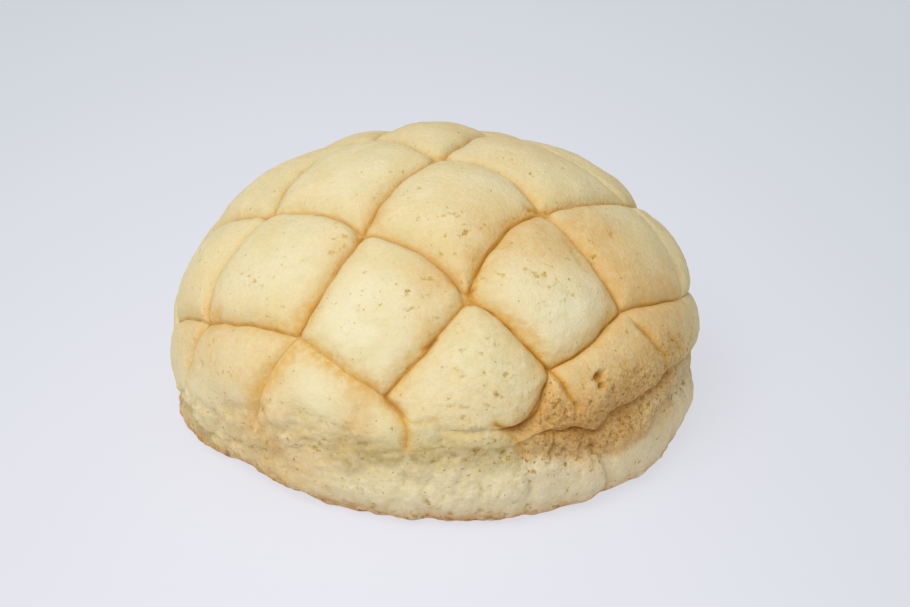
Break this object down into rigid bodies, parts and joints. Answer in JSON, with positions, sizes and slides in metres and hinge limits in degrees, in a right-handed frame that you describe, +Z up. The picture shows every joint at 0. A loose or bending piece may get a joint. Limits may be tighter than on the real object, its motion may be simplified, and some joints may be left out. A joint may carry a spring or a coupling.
{
  "type": "melon bread",
  "caption": "Round sweet bun with a domed biscuit crust scored into a net of square tiles, over a narrower cracked foot and a flat underside.",
  "frame": {"origin": "centre of the bun's box at the height of its flat underside", "axes": "+Z up out of the dome, -Y towards the front of the bun, where the crust's lip is broken and the foot shows most, +X to the right as seen from the front"},
  "size_m": [0.1058, 0.1042, 0.0551],
  "materials": {
    "crust": "matte, dry and finely granular baked biscuit, browner at the bottom rim"
  },
  "bodies": {
    "root": {"melon_bread": "crust"}
  },
  "joints": []
}
